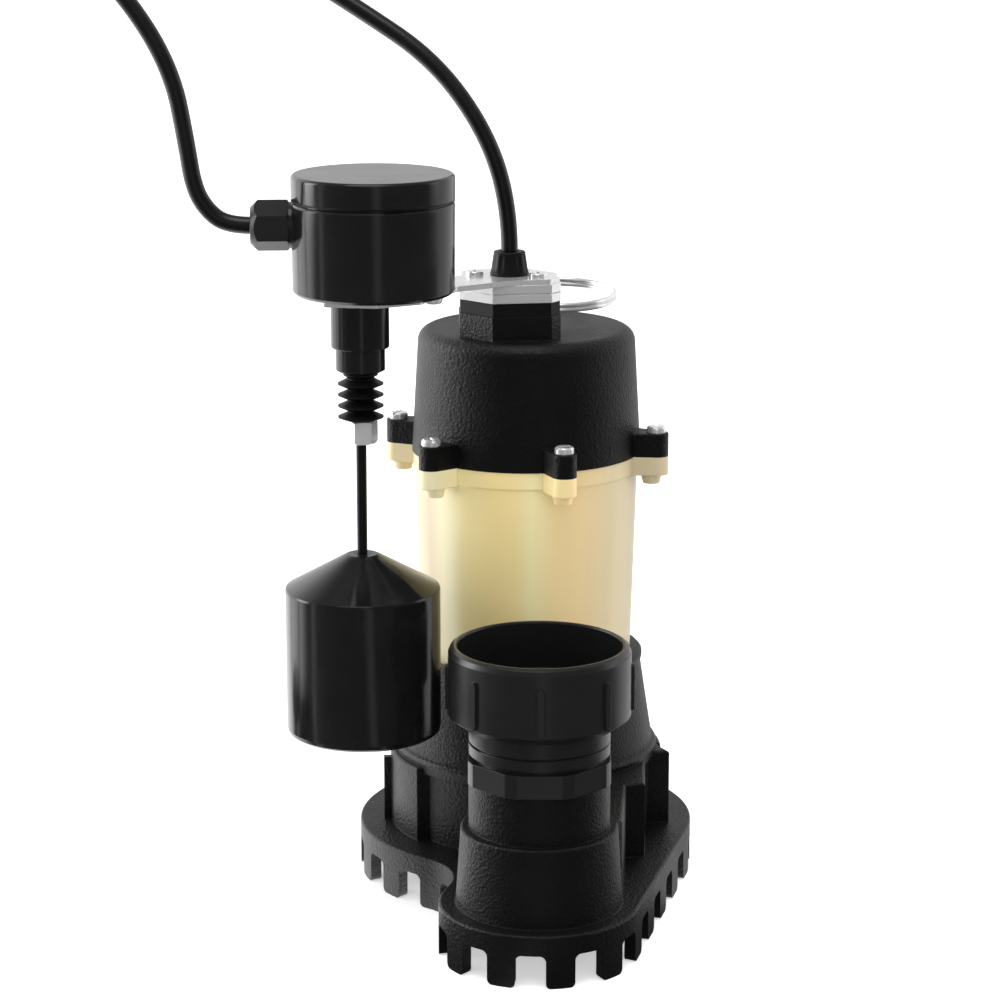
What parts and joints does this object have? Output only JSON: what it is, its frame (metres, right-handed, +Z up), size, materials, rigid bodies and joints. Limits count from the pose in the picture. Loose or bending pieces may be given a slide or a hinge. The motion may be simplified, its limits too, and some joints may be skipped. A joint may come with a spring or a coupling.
{
  "type": "submersible sump pump",
  "caption": "Submersible sump pump with cast volute base, coated motor shell, upward discharge union and a vertical rod float switch with mains cords.",
  "frame": {"origin": "motor axis at the plane the feet stand on", "axes": "+Z up along the motor axis; the discharge stands in front at -Y and the float switch hangs at -X"},
  "size_m": [0.4862, 0.265, 0.4742],
  "materials": {
    "cast_black": "black powder coat over casting",
    "gold_coat": "pale gold satin coat",
    "stainless": "bright stainless",
    "steel": "machined",
    "lamination": "stacked laminations",
    "copper": "varnished copper wire",
    "aluminium": "satin",
    "rubber": "matt",
    "ceramic": "lapped seal face",
    "gloss_black": "gloss moulding",
    "black_plastic": "satin moulding",
    "black_rod": "black coated rod",
    "cord_rubber": "smooth jacket"
  },
  "bodies": {
    "pump": {"volute_base": "cast_black", "suction_cover": "cast_black", "cover_gasket": "rubber", "cover_screws": "stainless", "bearing_bracket": "cast_black", "lower_bearing": "steel", "upper_bearing": "steel", "motor_housing": "gold_coat", "seat_screws": "steel", "stator_core": "lamination", "stator_windings": "copper", "top_bracket": "cast_black", "seal_seat": "ceramic", "motor_cap": "cast_black", "cap_screws": "stainless", "run_capacitor": "aluminium", "capacitor_strap": "steel", "entry_seal": "rubber", "cord_clamp": "stainless", "switch_bracket": "stainless", "mount_screws": "stainless", "clamp_screws": "stainless", "strain_relief": "rubber", "switch_housing": "gloss_black", "switch_lid": "gloss_black", "lid_seal": "rubber", "bracket_gasket": "rubber", "stem_tube": "gloss_black", "stem_nut": "black_plastic", "bellows": "rubber", "micro_switch": "black_plastic", "gland": "black_plastic", "gland_nut": "black_plastic", "discharge_adapter": "black_plastic", "union_seal": "rubber", "pump_cord": "cord_rubber", "pump_coil": "cord_rubber", "cord_ties": "cord_rubber", "pump_tail": "cord_rubber", "pump_plug": "cord_rubber", "switch_cord": "cord_rubber", "switch_coil": "cord_rubber", "switch_tail": "cord_rubber", "switch_plug": "cord_rubber"},
    "rotor": {"shaft": "steel", "rotor_core": "lamination", "rotor_rings": "aluminium", "impeller": "black_plastic", "impeller_nut": "stainless", "seal_ring": "rubber"},
    "union": {"union_nut": "black_plastic"},
    "switch_rod": {"float_rod": "black_rod", "rod_nut": "stainless", "rod_stop": "stainless", "plunger": "black_plastic"},
    "float": {"float_shell": "gloss_black", "float_base": "gloss_black", "float_bushing": "black_plastic"},
    "ring": {"lifting_ring": "stainless"},
    "lever": {"switch_lever": "steel"}
  },
  "joints": [
    {"name": "rotor_spin", "type": "hinge", "parent": "pump", "child": "rotor", "pos_m": [0, 0, 0.1], "axis": [0, 0, 1], "continuous": true},
    {"name": "union_turn", "type": "hinge", "parent": "pump", "child": "union", "pos_m": [0, -0.1209, 0.13], "axis": [0, 0, 1], "continuous": true},
    {"name": "rod_lift", "type": "slide", "parent": "pump", "child": "switch_rod", "axis": [0, 0, 1], "range_m": [0, 0.005], "deforming": ["bellows"]},
    {"name": "float_slide", "type": "slide", "parent": "switch_rod", "child": "float", "axis": [0, 0, 1], "range_m": [0, 0.05]},
    {"name": "ring_swing", "type": "hinge", "parent": "pump", "child": "ring", "pos_m": [-0.0131, 0.0314, 0.2821], "axis": [-0.0438, -0.9977, -0.0523], "range_deg": [0, 100]},
    {"name": "lever_turn", "type": "hinge", "parent": "pump", "child": "lever", "pos_m": [-0.0584, -0.0749, 0.3196], "axis": [0, 1, 0], "range_deg": [0, 14.5]}
  ],
  "couplings": [
    {"joint": "lever_turn", "follows": "rod_lift", "rad_per_m": 48}
  ]
}
